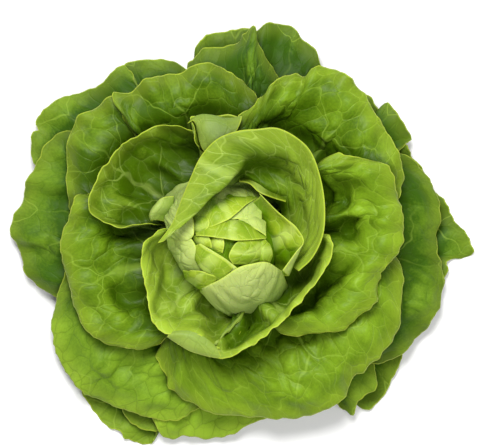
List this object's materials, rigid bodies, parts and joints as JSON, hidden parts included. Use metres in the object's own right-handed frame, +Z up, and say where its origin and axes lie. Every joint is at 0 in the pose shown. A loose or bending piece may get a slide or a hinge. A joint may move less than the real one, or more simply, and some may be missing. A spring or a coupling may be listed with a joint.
{
  "type": "butterhead lettuce",
  "caption": "Open head of round, soft-leaved lettuce: a short cut stem that carries spreading outer leaves, a ring of cup leaves and a closed pale heart.",
  "frame": {"origin": "centre of the cut face of the stem, on the surface that the head stands on", "axes": "+Z up along the stem, +X to the right and +Y to the back as seen by someone in front of it; in plan +Y is the top of the picture"},
  "size_m": [0.2851, 0.2623, 0.0987],
  "materials": {
    "outer_leaf": "living leaf, mid green, soft satin",
    "middle_leaf": "living leaf, fresh green, soft satin",
    "cup_leaf": "living leaf, light green with a yellow-green rim, soft satin",
    "heart_leaf": "living leaf, pale yellow-green, soft satin",
    "stem": "cut stem, cream, browned at the cut"
  },
  "bodies": {
    "root": {"stem": "stem", "outer_leaf_back_low": "outer_leaf", "outer_leaf_front_left_low": "outer_leaf", "outer_leaf_right_tail": "outer_leaf", "outer_leaf_back_left": "outer_leaf", "outer_leaf_front_right_low": "outer_leaf", "outer_leaf_front_left_small": "outer_leaf", "outer_leaf_back_right": "outer_leaf", "outer_leaf_right_folded": "outer_leaf", "outer_leaf_left_back": "outer_leaf", "outer_leaf_front": "outer_leaf", "outer_leaf_front_right_curled": "outer_leaf", "outer_leaf_back_folded": "outer_leaf", "outer_leaf_left": "outer_leaf", "outer_leaf_right": "outer_leaf", "outer_leaf_left_front": "outer_leaf", "middle_leaf_left_back": "middle_leaf", "middle_leaf_front": "middle_leaf", "middle_leaf_left_front": "middle_leaf", "middle_leaf_back": "middle_leaf", "cup_leaf_left": "cup_leaf", "cup_leaf_back_small": "cup_leaf", "middle_leaf_right_back": "middle_leaf", "middle_leaf_right": "middle_leaf", "cup_leaf_right_front": "cup_leaf", "cup_leaf_left_front": "cup_leaf", "heart_leaf_left": "heart_leaf", "cup_leaf_arched": "cup_leaf", "heart_leaf_right": "heart_leaf", "heart_leaf_front": "heart_leaf", "heart_leaf_top": "heart_leaf", "heart": "heart_leaf"}
  },
  "joints": []
}
